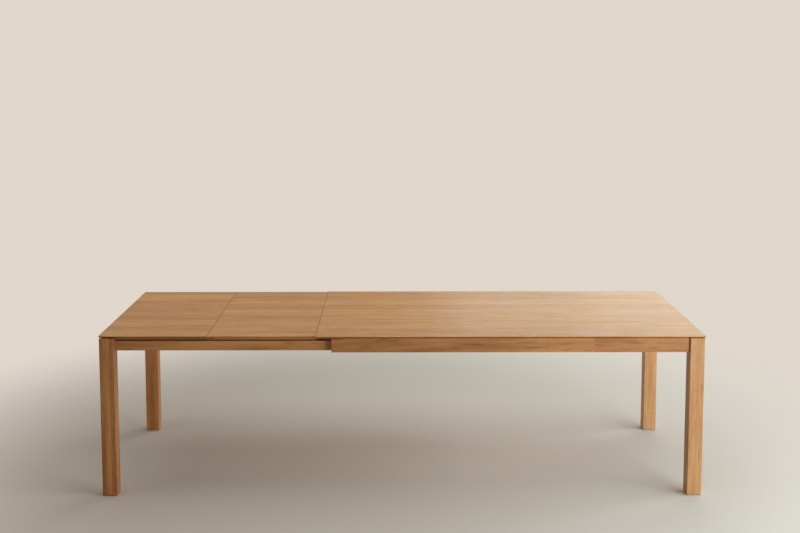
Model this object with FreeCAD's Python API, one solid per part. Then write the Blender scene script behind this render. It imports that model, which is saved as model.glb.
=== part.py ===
import FreeCAD, Part
import math
import os

V = FreeCAD.Vector

# Millimetres. X runs along the table towards the end with the fixed top, Y towards the back
# and Z up. The origin is on the floor under the middle of the fully extended table. Most
# heights are given as depths below the upper face of the top.

# Overall sizes.
table_height = 760.0
table_width = 1000.0
main_length = 1800.0
leaf_length = 500.0
leaf_count = 2
seam = 0.5

# Panels: glued staves that make a thin rim, bevelled under its free edges, and a thicker core.
# Under each side edge of a leaf runs a strip that carries the bevel further down.
leaf_inset = 10.0
rim_depth = 11.0
core_depth = 20.0
core_half_width = 400.0
core_stave_count = 7
bevel = 8.0
top_round = 1.0
left_rim = 20.0
right_rim = 40.0
strip_inner = 430.0
strip_depth = 22.0

# Legs and feet. Each left leg has a lip on its outer side and a lower seat behind it, with a
# plastic disc let in, which the edge strip of the leaf rests on.
leg_size = 68.0
leg_inset = 4.0
leg_round = 3.0
left_leg_drop = 0.3
lip_thick = 12.0
foot_height = 3.0
foot_radius = 20.0
disc_radius = 10.0
disc_depth = 2.5

# Aprons of the main frame.
apron_inset = 10.0
apron_thick = 20.0
apron_bottom = 78.0
apron_round = 1.5
reveal_width = 5.0
reveal_depth = 4.0
closing_gap = 1.0

# Rails of the sliding end frame, and the tie between them.
rail_gap = 5.0
rail_thick = 20.0
rail_top = 28.0
rail_bottom = 74.5
rail_end = 117.0
rail_round = 2.0
end_rail_inset = 8.0
notch_depth = 37.0
tie_width = 40.0
tie_top = 57.5
tie_bottom = 71.5
tie_setback = 10.0

# Plastic glide on the inner end of each side rail, and rubber pads that carry the leaves.
glide_length = 30.0
glide_side = 1.5
glide_top = 11.5
glide_bottom = 75.2
pad_length = 12.0
pad_width = 9.0
pad_round = 1.5
pad_places = (-974.0, -777.0)

# Steel angle that carries each side rail, with a thin plastic pad at its mouth.
runner_thick = 2.5
runner_top = 30.0
runner_bottom = 78.0
runner_flange = 23.0
runner_setback = 7.0
runner_end = 1200.0
runner_pad_length = 40.0
runner_pad_thick = 0.8

# Pull-out bearers under the leaves: tubes with plastic caps, in steel channels.
bearer_centre = 415.0
bearer_width = 16.0
bearer_top = 11.8
bearer_bottom = 35.0
bearer_wall = 1.5
bearer_round = 1.5
bearer_left = -1083.0
bearer_right = 140.0
bearer_travel = 750.0
cap_thick = 3.0
cap_plug = 12.0
cap_clearance = 0.2
channel_wall = 2.0
channel_play = 0.5
channel_top = 12.5
channel_end_play = 1.0
lip_top = 29.0

# Beams and cross rails under the main top.
beam_thick = 24.0
beam_bottom = 56.0
beam_start = -285.0
beam_end = 1290.0

# Stop block that the rail glide and the bearer's stop screw both meet when pulled out.
stop_length = 18.5
stop_play = 0.5
stop_bottom = 27.0
stop_inner = 424.5
stop_outer = 454.0

# Corner brackets, each with a bolt into its leg.
bracket_thick = 2.5
bracket_flange = 22.0
bracket_gap = 12.0
bracket_depths = {"left": (42.0, 70.0), "right": (31.0, 72.0)}
bolt_radius = 4.0
bolt_in_leg = 42.0
bolt_tail = 3.0
washer_radius = 10.0
washer_thick = 1.6
nut_flats = 13.0
nut_height = 6.5

# Battens, felt strips and edge pins of the leaves.
batten_width = 40.0
batten_thick = 7.0
batten_margin = 90.0
batten_half_length = 394.0
batten_chamfer = 2.0
felt_width = 14.0
felt_margin = 6.0
pin_radius = 2.2
pin_top = 5.0
pin_bottom = 17.0
pin_setback = 9.0
pin_offsets = (17.0, 27.0)

# Dowels: how far each reaches to either side of its joint, and where it sits.
fit_gap = 0.15
dowel_radius = 4.0
leg_dowel_reach = (28.0, 28.0)
leg_dowel_depths = {"left": (43.0, 65.0), "right": (26.0, 62.0)}
top_dowel_reach = (18.0, 7.0)
top_dowel_count = 7
end_dowel_spacing = 260.0
beam_dowel_reach = (24.0, 16.0)
beam_dowel_margin = 9.0

# Screws: radius and length of each kind, and how many hold each part.
screw_radius = 2.0
small_screw_radius = 1.5
top_screw_radius = 2.5
socket_share = 0.55
batten_screw_length = 18.0
batten_screw_shares = (-0.9, -0.3, 0.3, 0.9)
bracket_screw_length = 16.0
steel_screw_length = 15.0
steel_screw_count = 6
channel_screw_depth = 22.0
top_screw_length = 33.0
top_screw_share = 0.7
counterbore_radius = 6.5
counterbore_depth = 15.0
stop_screw_length = 22.0
stop_screw_margin = 7.0
glide_screw_length = 55.0
tie_screw_length = 45.0
tie_screw_margin = 10.0
bearer_screw_length = 10.0
bearer_screw_depth = 20.0

# Places worked out from the sizes above.
x_right = (main_length + leaf_count * leaf_length) / 2
main_left = x_right - main_length
half_width = table_width / 2
leaf_half = half_width - leaf_inset
leg_outer_x = x_right - leg_inset
leg_inner_x = leg_outer_x - leg_size
leg_outer_y = half_width - leg_inset
leg_inner_y = leg_outer_y - leg_size
apron_outer = half_width - apron_inset
apron_inner = apron_outer - apron_thick
apron_start = main_left + leg_inset + leg_size + closing_gap
end_apron_outer = x_right - apron_inset
end_apron_inner = end_apron_outer - apron_thick
rail_outer = apron_inner - rail_gap
rail_inner = rail_outer - rail_thick
end_rail_outer = leg_outer_x - end_rail_inset
end_rail_inner = end_rail_outer - rail_thick
tie_x = (rail_end - tie_setback - tie_width, rail_end - tie_setback)
runner_start = apron_start + runner_setback
bearer_outer = bearer_centre + bearer_width / 2
bearer_inner = bearer_centre - bearer_width / 2
channel_inner = bearer_inner - channel_play - channel_wall
channel_outer = bearer_outer + channel_play + channel_wall
channel_end = bearer_right + bearer_travel + channel_end_play
beam_outer = channel_inner
beam_inner = beam_outer - beam_thick
stop_x = (rail_end - stop_play - stop_length, rail_end - stop_play)

# At each end, the members that a leg joins: inner and outer face of the side member in Y,
# inner and outer face of the end member in X, their names, and the frame they belong to.
corners = {
    "left": {
        "frame": "end_frame",
        "side_faces": (rail_inner, rail_outer),
        "end_faces": (end_rail_inner, end_rail_outer),
        "side_member": "{}_rail",
        "end_member": "left_end_rail",
    },
    "right": {
        "frame": "main_frame",
        "side_faces": (apron_inner, apron_outer),
        "end_faces": (end_apron_inner, end_apron_outer),
        "side_member": "{}_apron",
        "end_member": "right_apron",
    },
}
cross_rail_x = {
    "left_cross_rail": beam_start,
    "middle_cross_rail": (beam_start + beam_end - beam_thick) / 2,
    "right_cross_rail": beam_end - beam_thick,
}

sides = {"front": -1, "back": 1}
ends = {"left": -1, "right": 1}
nodes = {}
groups = {}
bores = {}


def span(sign, inner, outer):
    """Low and high value of a stretch that lies on the given side of the middle."""
    return tuple(sorted((sign * inner, sign * outer)))


def centred(middle, width):
    """Low and high value of a stretch around a middle."""
    return (middle - width / 2, middle + width / 2)


def box(x_range, y_range, depths):
    """Block between two x values, two y values and two depths below the top."""
    corner = V(x_range[0], y_range[0], table_height - depths[1])
    size = (x_range[1] - x_range[0], y_range[1] - y_range[0], depths[1] - depths[0])
    return Part.makeBox(*size, corner)


def point(x, y, depth):
    """Point at a depth below the top."""
    return V(x, y, table_height - depth)


def rod(start, direction, length, radius):
    """Round bar from a start point."""
    return Part.makeCylinder(radius, length, start, direction)


def hexagon(flats, height):
    """Hexagonal bar on the origin, along Z."""
    reach = flats / math.sqrt(3)
    turns = [k * math.pi / 3 for k in range(7)]
    outline = [V(reach * math.cos(turn), reach * math.sin(turn), 0) for turn in turns]
    return Part.Face(Part.makePolygon(outline)).extrude(V(0, 0, height))


def fuse(*shapes):
    """One solid from blocks that share faces."""
    return shapes[0].multiFuse(shapes[1:]).removeSplitter()


def eased(shape, axis, radius):
    """The shape with its edges along one axis (0, 1 or 2 for X, Y or Z) rounded."""
    chosen = []
    for edge in shape.Edges:
        start, end = edge.Vertexes[0].Point, edge.Vertexes[-1].Point
        if abs(abs(end[axis] - start[axis]) - edge.Length) < 1e-6:
            chosen.append(edge)
    return shape.makeFillet(radius, chosen)


def placed(shape, start, direction):
    """Copy of a shape made along +Z, moved to a start point and turned to a direction."""
    copy = shape.copy()
    copy.Placement = FreeCAD.Placement(start, FreeCAD.Rotation(V(0, 0, 1), direction))
    return copy


def add_to(group, *solids):
    """Put solids into a node that holds several of a kind."""
    groups.setdefault(group, []).extend(solids)


def bore(cutter, members):
    """Cut a shape out of each of the named pieces once they are all made."""
    for member in members:
        bores.setdefault(member, []).append(cutter)


def add_dowel(group, members, joint, direction, reach):
    """Dowel through a joint, reaching back and forward from it, with holes in its members."""
    back, forward = reach
    length = back + forward
    start = joint - direction * back
    add_to(group, rod(start, direction, length, dowel_radius))
    hole_start = start - direction * fit_gap
    bore(rod(hole_start, direction, length + 2 * fit_gap, dowel_radius + fit_gap), members)


def screw_shape(length, radius, style, grow=0.0):
    """Screw along +Z from its seat at the origin: flush has a sunk cone, pan a head outside."""
    shaft = radius + grow
    head = 2 * radius + grow
    straight = length - radius + grow
    pieces = [Part.makeCone(shaft, shaft / 4, radius, V(0, 0, straight))]
    if style == "flush":
        pieces.append(Part.makeCone(head, shaft, radius))
        socket = hexagon(2 * radius * socket_share, radius * 0.9)
    else:
        pieces.append(Part.makeCylinder(head, radius, V(0, 0, -radius)))
        socket = hexagon(2 * radius * socket_share, radius * 0.6).translated(V(0, 0, -radius))
    whole = Part.makeCylinder(shaft, straight).multiFuse(pieces).removeSplitter()
    return whole if grow else whole.cut(socket)


def add_screw(group, members, seat, direction, length, radius=screw_radius, style="flush"):
    """Screw whose head seats at a point, with its hole in the pieces it holds."""
    add_to(group, placed(screw_shape(length, radius, style), seat, direction))
    bore(placed(screw_shape(length, radius, style, fit_gap), seat, direction), members)


def panel(x_range, half, free_left, free_right, core_x):
    """Top panel: a rim bevelled below and rounded above along its free edges, plus its core.

    It is glued from staves along X: equal ones across the core, and a thin one at each side.
    """

    def free_edges(shape, depth):
        chosen = []
        for edge in shape.Edges:
            middle = edge.CenterOfMass
            level = abs(middle.z - (table_height - depth)) < 1e-3
            on_side = abs(abs(middle.y) - half) < 1e-3
            on_left = free_left and abs(middle.x - x_range[0]) < 1e-3
            on_right = free_right and abs(middle.x - x_range[1]) < 1e-3
            if level and (on_side or on_left or on_right):
                chosen.append(edge)
        return chosen

    rim = box(x_range, (-half, half), (0, rim_depth))
    rim = rim.makeChamfer(bevel, free_edges(rim, rim_depth))
    rim = rim.makeFillet(top_round, free_edges(rim, 0))
    core = box(core_x, (-core_half_width, core_half_width), (rim_depth, core_depth))
    whole = fuse(rim, core)
    stave_width = 2 * core_half_width / core_stave_count
    joints = [k * stave_width - core_half_width for k in range(core_stave_count + 1)]
    staves = []
    for low, high in zip([-half] + joints, joints + [half]):
        staves.extend(whole.common(box(x_range, (low, high), (0, core_depth))).Solids)
    return Part.makeCompound(staves)


def make_main_top():
    """The fixed top, with a free edge all round."""
    core_x = (main_left + left_rim, x_right - right_rim)
    nodes["main_top"] = panel((main_left, x_right), half_width, True, True, core_x)


def seated_leg(leg, leg_x, side):
    """Left leg as two glued parts: the outer one ends in the lip, the inner one in the seat."""
    low = table_height - foot_height
    seam_y = leg_outer_y - lip_thick
    outer = leg.common(box(leg_x, span(side, seam_y, leg_outer_y), (rim_depth, low)))
    inner = leg.common(box(leg_x, span(side, leg_inner_y, seam_y), (strip_depth + left_leg_drop, low)))
    return Part.makeCompound([outer, inner])


def make_legs():
    """Four square legs on round feet. The left pair stays a hair lower, to pass under the top."""
    for end_name, end in ends.items():
        top = rim_depth + (left_leg_drop if end < 0 else 0)
        for side_name, side in sides.items():
            name = f"{end_name}_{side_name}_leg"
            leg_x = span(end, leg_inner_x, leg_outer_x)
            leg_y = span(side, leg_inner_y, leg_outer_y)
            nodes[name] = eased(box(leg_x, leg_y, (top, table_height - foot_height)), 2, leg_round)
            middle = V(sum(leg_x) / 2, sum(leg_y) / 2, 0)
            add_to(f"{end_name}_feet", rod(middle, V(0, 0, 1), foot_height, foot_radius))
            if end < 0:
                nodes[name] = seated_leg(nodes[name], leg_x, side)
                height = disc_depth + left_leg_drop
                hollow = point(middle.x, middle.y, strip_depth + height)
                add_to("leaf_discs", rod(hollow, V(0, 0, 1), height, disc_radius))
                bore(rod(hollow, V(0, 0, 1), height, disc_radius + fit_gap), [name])


def make_aprons():
    """Side aprons with a narrow shadow reveal at the right legs, and the end apron."""
    depths = (rim_depth, apron_bottom)
    for side_name, side in sides.items():
        board = box((apron_start, leg_inner_x), span(side, apron_inner, apron_outer), depths)
        reveal_x = (leg_inner_x - reveal_width, leg_inner_x)
        reveal = box(reveal_x, span(side, apron_outer - reveal_depth, apron_outer), depths)
        nodes[f"{side_name}_apron"] = eased(board, 0, apron_round).cut(reveal)
    board = box((end_apron_inner, end_apron_outer), (-leg_inner_y, leg_inner_y), depths)
    nodes["right_apron"] = eased(board, 1, apron_round)


def make_beams():
    """Beams and cross rails that stiffen the main top and carry the bearer channels."""
    depths = (core_depth, beam_bottom)
    for side_name, side in sides.items():
        nodes[f"{side_name}_beam"] = box((beam_start, beam_end), span(side, beam_inner, beam_outer), depths)
    for name, x in cross_rail_x.items():
        nodes[name] = box((x, x + beam_thick), (-beam_inner, beam_inner), depths)


def make_runners():
    """Steel angles on the aprons, which the side rails slide along."""
    along = (runner_start, runner_end)
    flange_depths = (runner_bottom - runner_thick, runner_bottom)
    pad_depths = (flange_depths[0] - runner_pad_thick, flange_depths[0])
    for side_name, side in sides.items():
        web = box(along, span(side, apron_inner - runner_thick, apron_inner), (runner_top, runner_bottom))
        flange = box(along, span(side, apron_inner - runner_flange, apron_inner), flange_depths)
        nodes[f"{side_name}_runner"] = fuse(web, flange)
        pad_x = (runner_start, runner_start + runner_pad_length)
        pad = box(pad_x, span(side, rail_inner + rail_round, rail_outer), pad_depths)
        add_to("runner_pads", pad)


def make_channels():
    """Steel channels for the bearers: open towards the leaves, closed at the inner end."""
    along = (beam_start, channel_end)
    floor_depths = (bearer_bottom + channel_play, bearer_bottom + channel_play + channel_wall)
    wall_depths = (channel_top, floor_depths[1])
    for side_name, side in sides.items():
        full_y = span(side, channel_inner, channel_outer)
        web = box(along, span(side, channel_inner, channel_inner + channel_wall), wall_depths)
        floor = box(along, full_y, floor_depths)
        lip = box(along, span(side, channel_outer - channel_wall, channel_outer), (lip_top, floor_depths[1]))
        closure = box((channel_end, channel_end + channel_wall), full_y, wall_depths)
        nodes[f"{side_name}_channel"] = fuse(web, floor, lip, closure)


def make_stop_blocks():
    """Hardwood blocks under the main top that end the travel of rails and bearers."""
    for side_name, side in sides.items():
        block_y = span(side, stop_inner, stop_outer)
        nodes[f"{side_name}_stop_block"] = box(stop_x, block_y, (rim_depth, stop_bottom))


def make_end_frame():
    """Side rails with their glides and leaf pads, the notched end rail and the tie."""
    for side_name, side in sides.items():
        rail = box((-leg_inner_x, rail_end), span(side, rail_inner, rail_outer), (rail_top, rail_bottom))
        nodes[f"{side_name}_rail"] = eased(rail, 0, rail_round)
        glide_y = span(side, rail_inner - glide_side, rail_outer + glide_side)
        glide = box((rail_end, rail_end + glide_length), glide_y, (glide_top, glide_bottom))
        nodes[f"{side_name}_rail_glide"] = eased(glide, 2, glide_side)
        for x in pad_places:
            pad_y = span(side, rail_outer - pad_width, rail_outer - rail_round)
            pad = box(centred(x, pad_length), pad_y, (strip_depth, rail_top))
            add_to("leaf_pads", eased(pad, 2, pad_round))

    along = (-end_rail_outer, -end_rail_inner)
    rail = eased(box(along, (-leg_inner_y, leg_inner_y), (rail_top, rail_bottom)), 1, rail_round)
    for side in sides.values():
        notch_y = span(side, channel_inner - channel_end_play, leg_inner_y)
        rail = rail.cut(box(along, notch_y, (rail_top, notch_depth)))
    nodes["left_end_rail"] = rail
    nodes["rail_tie"] = box(tie_x, (-rail_inner, rail_inner), (tie_top, tie_bottom))


def make_bearers():
    """Bearer tubes with a plug-in cap at each end and a stop screw in the outer wall."""
    outside_depths = (bearer_top, bearer_bottom)
    inside_depths = (bearer_top + bearer_wall, bearer_bottom - bearer_wall)
    plug_depths = (inside_depths[0] + cap_clearance, inside_depths[1] - cap_clearance)
    tube_x = (bearer_left + cap_thick, bearer_right - cap_thick)
    left_cap = ((bearer_left, tube_x[0]), (tube_x[0], tube_x[0] + cap_plug))
    right_cap = ((tube_x[1], bearer_right), (tube_x[1] - cap_plug, tube_x[1]))
    for side_name, side in sides.items():
        name = f"{side_name}_bearer"
        outside = span(side, bearer_inner, bearer_outer)
        inside = span(side, bearer_inner + bearer_wall, bearer_outer - bearer_wall)
        tube = eased(box(tube_x, outside, outside_depths), 0, bearer_round)
        nodes[name] = tube.cut(box(tube_x, inside, inside_depths))
        for plate_x, plug_x in (left_cap, right_cap):
            plate = eased(box(plate_x, outside, outside_depths), 0, bearer_round)
            plug = box(plug_x, (inside[0] + cap_clearance, inside[1] - cap_clearance), plug_depths)
            add_to(f"{name}_caps", fuse(plate, plug))
        seat = point(rail_end + 2 * screw_radius, side * bearer_outer, bearer_screw_depth)
        add_screw(f"{name}_stop", [name], seat, V(0, -side, 0), bearer_screw_length, style="pan")


def edge_strip(x_range, side):
    """Strip under a side edge of a leaf; its outer face goes on down in the plane of the bevel."""
    bevel_end = leaf_half - bevel
    outline = [
        (strip_inner, rim_depth),
        (bevel_end, rim_depth),
        (bevel_end - (strip_depth - rim_depth), strip_depth),
        (strip_inner, strip_depth),
    ]
    closed = [point(x_range[0], side * y, depth) for y, depth in outline + outline[:1]]
    return Part.Face(Part.makePolygon(closed)).extrude(V(x_range[1] - x_range[0], 0, 0))


def make_leaf(name, left, right, outermost):
    """Loose leaf: its panel, two screwed battens and the felt strips that meet the bearers."""
    core_x = (left + (left_rim if outermost else 0), right)
    board = panel((left, right), leaf_half, outermost, False, core_x)
    strips = [edge_strip(core_x, side) for side in sides.values()]
    nodes[f"{name}_panel"] = Part.makeCompound(board.Solids + strips)
    batten_bottom = core_depth + batten_thick
    for place, middle in (("left", left + batten_margin), ("right", right - batten_margin)):
        batten_name = f"{name}_{place}_batten"
        across = (-batten_half_length, batten_half_length)
        batten = box(centred(middle, batten_width), across, (core_depth, batten_bottom))
        level = table_height - batten_bottom
        lower = [edge for edge in batten.Edges if abs(edge.CenterOfMass.z - level) < 1e-3]
        nodes[batten_name] = batten.makeChamfer(batten_chamfer, lower)
        for share in batten_screw_shares:
            seat = point(middle, share * batten_half_length, batten_bottom)
            members = [batten_name, f"{name}_panel"]
            add_screw(f"{name}_screws", members, seat, V(0, 0, 1), batten_screw_length)
    felt_x = (max(left, bearer_left) + felt_margin, right - felt_margin)
    for side in sides.values():
        felt_y = centred(side * bearer_centre, felt_width)
        add_to(f"{name}_felt", box(felt_x, felt_y, (rim_depth, bearer_top)))


def make_leaves():
    """The two leaves, and short dark pins under the inner leaf's edges beside its outer seam."""
    inner_left = main_left - leaf_length
    make_leaf("inner_leaf", inner_left, main_left - seam, False)
    make_leaf("outer_leaf", inner_left - leaf_length, inner_left - seam, True)
    height = pin_bottom - pin_top
    for side in sides.values():
        for offset in pin_offsets:
            low = point(inner_left + offset, side * (leaf_half - pin_setback), pin_bottom)
            add_to("leaf_pins", rod(low, V(0, 0, 1), height, pin_radius))
            bore(rod(low, V(0, 0, 1), height + fit_gap, pin_radius + fit_gap), ["inner_leaf_panel"])


def make_corner(end_name, side_name):
    """Bent plate across a leg's inner corner, bolted to the leg and screwed to both members."""
    end, side = ends[end_name], sides[side_name]
    corner = corners[end_name]
    leg = f"{end_name}_{side_name}_leg"
    bracket = f"{end_name}_{side_name}_bracket"
    side_name_full = corner["side_member"].format(side_name)
    side_face = corner["side_faces"][0]
    end_face = corner["end_faces"][0]
    upper, lower = bracket_depths[end_name]
    middle_depth = (upper + lower) / 2

    # The plate's outline in outward distances along X and Y: flange, slanted web, flange.
    turn = leg_inner_x + leg_inner_y - side_face - bracket_gap * math.sqrt(2)
    far = side_face - (end_face - turn)
    shift = bracket_thick * (math.sqrt(2) - 1)
    outline = [
        (turn - bracket_flange, side_face),
        (turn, side_face),
        (end_face, far),
        (end_face, far - bracket_flange),
        (end_face - bracket_thick, far - bracket_flange),
        (end_face - bracket_thick, far - shift),
        (turn - shift, side_face - bracket_thick),
        (turn - bracket_flange, side_face - bracket_thick),
    ]
    closed = [point(end * u, side * v, lower) for u, v in outline + outline[:1]]
    nodes[bracket] = Part.Face(Part.makePolygon(closed)).extrude(V(0, 0, lower - upper))

    inward = V(-end, -side, 0).normalize()
    leg_corner = point(end * leg_inner_x, side * leg_inner_y, middle_depth)
    bolt_start = leg_corner - inward * bolt_in_leg
    bolt_length = bolt_in_leg + bracket_gap + bracket_thick + washer_thick + nut_height + bolt_tail
    hole = Part.makeCylinder(bolt_radius + fit_gap, nut_height)
    washer = Part.makeCylinder(washer_radius, washer_thick).cut(hole)
    nut = hexagon(nut_flats, nut_height).cut(hole)
    washer_seat = leg_corner + inward * (bracket_gap + bracket_thick)
    nut_seat = washer_seat + inward * washer_thick
    bolt = rod(bolt_start, inward, bolt_length, bolt_radius)
    add_to(f"{end_name}_bolts", bolt, placed(washer, washer_seat, inward), placed(nut, nut_seat, inward))
    bore(rod(bolt_start - inward * fit_gap, inward, bolt_length, bolt_radius + fit_gap), [leg, bracket])

    group = corner["frame"] + "_screws"
    side_seat = point(end * (turn - bracket_flange / 2), side * (side_face - bracket_thick), middle_depth)
    end_seat = point(end * (end_face - bracket_thick), side * (far - bracket_flange / 2), middle_depth)
    side_pair = [bracket, side_name_full]
    add_screw(group, side_pair, side_seat, V(0, side, 0), bracket_screw_length, style="pan")
    end_pair = [bracket, corner["end_member"]]
    add_screw(group, end_pair, end_seat, V(end, 0, 0), bracket_screw_length, style="pan")

    group = corner["frame"] + "_dowels"
    for depth in leg_dowel_depths[end_name]:
        side_joint = point(end * leg_inner_x, side * sum(corner["side_faces"]) / 2, depth)
        end_joint = point(end * sum(corner["end_faces"]) / 2, side * leg_inner_y, depth)
        add_dowel(group, [leg, side_name_full], side_joint, V(end, 0, 0), leg_dowel_reach)
        add_dowel(group, [leg, corner["end_member"]], end_joint, V(0, side, 0), leg_dowel_reach)


def make_main_frame_dowels():
    """Dowels that hold the aprons to the top, and the ends of the cross rails to the beams."""
    group = "main_frame_dowels"
    up = V(0, 0, 1)
    apron_middle = (apron_inner + apron_outer) / 2
    step = (leg_inner_x - apron_start) / top_dowel_count
    for side_name, side in sides.items():
        for k in range(top_dowel_count):
            joint = point(apron_start + (k + 0.5) * step, side * apron_middle, rim_depth)
            add_dowel(group, [f"{side_name}_apron", "main_top"], joint, up, top_dowel_reach)
    for k in (-1, 0, 1):
        joint = point((end_apron_inner + end_apron_outer) / 2, k * end_dowel_spacing, rim_depth)
        add_dowel(group, ["right_apron", "main_top"], joint, up, top_dowel_reach)
    for name, x in cross_rail_x.items():
        for side_name, side in sides.items():
            for depth in (core_depth + beam_dowel_margin, beam_bottom - beam_dowel_margin):
                joint = point(x + beam_thick / 2, side * beam_inner, depth)
                add_dowel(group, [name, f"{side_name}_beam"], joint, V(0, side, 0), beam_dowel_reach)


def make_screws():
    """Screws of the cross rails, steel angles, channels, stop blocks, rail glides and tie."""
    up = V(0, 0, 1)
    for name, x in cross_rail_x.items():
        for k in (-1, 0, 1):
            x_middle, y = x + beam_thick / 2, k * beam_inner * top_screw_share
            seat = point(x_middle, y, beam_bottom - counterbore_depth)
            add_screw("top_screws", [name, "main_top"], seat, up, top_screw_length, top_screw_radius, "pan")
            bore(rod(point(x_middle, y, beam_bottom), up, counterbore_depth, counterbore_radius), [name])

    group = "main_frame_screws"
    runner_depth = (runner_top + runner_bottom) / 2
    for side_name, side in sides.items():
        for k in range(steel_screw_count):
            share = (k + 0.5) / steel_screw_count
            x = runner_start + share * (runner_end - runner_start)
            seat = point(x, side * (apron_inner - runner_thick), runner_depth)
            members = [f"{side_name}_runner", f"{side_name}_apron"]
            add_screw(group, members, seat, V(0, side, 0), steel_screw_length)
            x = beam_start + share * (channel_end - beam_start)
            seat = point(x, side * (channel_inner + channel_wall), channel_screw_depth)
            members = [f"{side_name}_channel", f"{side_name}_beam"]
            add_screw(group, members, seat, V(0, -side, 0), steel_screw_length, small_screw_radius)
        for y in (stop_inner + stop_screw_margin, stop_outer - stop_screw_margin):
            seat = point(sum(stop_x) / 2, side * y, stop_bottom)
            add_screw(group, [f"{side_name}_stop_block", "main_top"], seat, up, stop_screw_length)

    group = "end_frame_screws"
    for side_name, side in sides.items():
        rail_middle = side * (rail_inner + rail_outer) / 2
        seat = point(rail_end + glide_length, rail_middle, (rail_top + rail_bottom) / 2)
        members = [f"{side_name}_rail_glide", f"{side_name}_rail"]
        add_screw(group, members, seat, V(-1, 0, 0), glide_screw_length)
        for x in (tie_x[0] + tie_screw_margin, tie_x[1] - tie_screw_margin):
            seat = point(x, side * rail_outer, (tie_top + tie_bottom) / 2)
            add_screw(group, [f"{side_name}_rail", "rail_tie"], seat, V(0, -side, 0), tie_screw_length)


make_main_top()
make_legs()
make_aprons()
make_beams()
make_runners()
make_channels()
make_stop_blocks()
make_end_frame()
make_bearers()
make_leaves()
for each_end in ends:
    for each_side in sides:
        make_corner(each_end, each_side)
make_main_frame_dowels()
make_screws()

for name, cutters in bores.items():
    nodes[name] = nodes[name].cut(Part.makeCompound(cutters))
for name, solids in groups.items():
    nodes[name] = Part.makeCompound(solids)

os.makedirs("parts", exist_ok=True)
for name, shape in sorted(nodes.items()):
    shape.exportStep(f"parts/{name}.step")
    print(name, len(shape.Solids), "solid(s)", round(shape.Volume / 1000, 1), "cm3", shape.isValid())
print(len(nodes), "nodes")
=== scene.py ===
import math

import bpy
import numpy as np
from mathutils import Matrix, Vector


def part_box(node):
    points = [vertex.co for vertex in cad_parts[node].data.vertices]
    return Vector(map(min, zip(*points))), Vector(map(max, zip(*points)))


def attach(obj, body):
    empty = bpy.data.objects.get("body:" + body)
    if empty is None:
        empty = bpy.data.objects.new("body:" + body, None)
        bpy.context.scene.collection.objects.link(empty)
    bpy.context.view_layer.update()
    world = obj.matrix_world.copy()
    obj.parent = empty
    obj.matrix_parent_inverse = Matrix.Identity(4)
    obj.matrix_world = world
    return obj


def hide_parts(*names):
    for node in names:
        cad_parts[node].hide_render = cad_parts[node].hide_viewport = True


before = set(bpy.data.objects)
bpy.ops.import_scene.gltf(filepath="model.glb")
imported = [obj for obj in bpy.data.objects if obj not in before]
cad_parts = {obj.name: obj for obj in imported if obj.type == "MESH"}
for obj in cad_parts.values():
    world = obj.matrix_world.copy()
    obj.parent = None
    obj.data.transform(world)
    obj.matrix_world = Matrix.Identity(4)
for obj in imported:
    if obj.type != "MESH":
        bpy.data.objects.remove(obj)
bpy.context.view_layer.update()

# camera, in metres and degrees
shot = {
    "place": (-0.030, -5.536, 2.028),
    "down": 5.69,  # below level
    "right": 0.22,  # off straight ahead
    "lens": 50.3,  # millimetres
    "shift": -0.12,  # share of the picture's width
    "farthest": 200,  # nothing past it is drawn
}


def makeCamera():
    data = bpy.data.cameras.new("tableCamera")
    data.lens = shot["lens"]
    data.shift_y = shot["shift"]
    data.clip_end = shot["farthest"]
    camera = bpy.data.objects.new("tableCamera", data)
    camera.location = shot["place"]
    camera.rotation_euler = (math.radians(90 - shot["down"]), 0, math.radians(-shot["right"]))
    bpy.context.scene.collection.objects.link(camera)
    bpy.context.scene.camera = camera


# Soft boxes. Two on the right stand for windows: a low one in front, and a high one that no surface mirrors.
# The right end of the top mirrors the two behind. A warm one hangs overhead, and a weak one is on the left.
lamps = {
    "window": {
        "place": (3.5, -2.7, 0.65), "aim": (1.2, 0, 0.45), "size": (2.6, 1.1),
        "watts": 142, "tint": (0.84, 0.97, 1), "mirrored": True,
    },
    "sideWindow": {
        "place": (5.0, -0.6, 2.0), "aim": (0.9, 0, 0.6), "size": (3.6, 1.8),
        "watts": 100, "tint": (0.95, 1, 1), "mirrored": False,
    },
    "sheen": {
        "place": (2.4, 3.6, 1.7), "aim": (0.85, 0, 0.7), "size": (4.3, 1.8),
        "watts": 48, "tint": (0.91, 1, 0.91), "mirrored": True,
    },
    "farSheen": {
        "place": (3.6, 4.4, 1.9), "aim": (1.2, 0, 0.7), "size": (4.0, 2.0),
        "watts": 35, "tint": (0.91, 1, 0.95), "mirrored": True,
    },
    "ceiling": {
        "place": (-0.5, 0.3, 3.5), "aim": (-0.5, 0.2, 0), "size": (4.4, 3.0),
        "watts": 38, "tint": (1, 0.93, 0.86), "mirrored": True,
    },
    "fill": {
        "place": (-4.2, -1.5, 1.0), "aim": (0, 0, 0.5), "size": (3.0, 1.6),
        "watts": 21, "tint": (1, 0.89, 0.80), "mirrored": True,
    },
}
surround = {
    "seen": (0.745, 0.680, 0.610),  # behind the table
    "light": (1.0, 0.92, 0.84),  # what it sheds on the table
    "strength": 0.09,
}


def makeLamps():
    for name, lamp in lamps.items():
        data = bpy.data.lights.new(name, "AREA")
        data.shape = "RECTANGLE"
        data.size, data.size_y = lamp["size"]
        data.energy = lamp["watts"]
        data.color = lamp["tint"]
        box = bpy.data.objects.new(name, data)
        away = np.array(lamp["place"]) - np.array(lamp["aim"])
        flat = math.hypot(away[0], away[1])
        box.location = lamp["place"]
        box.rotation_euler = (math.atan2(flat, away[2]), 0, math.atan2(away[0], -away[1]))
        box.visible_camera = False
        box.visible_glossy = lamp["mirrored"]
        bpy.context.scene.collection.objects.link(box)
    print("lamps:", len(lamps))


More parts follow.
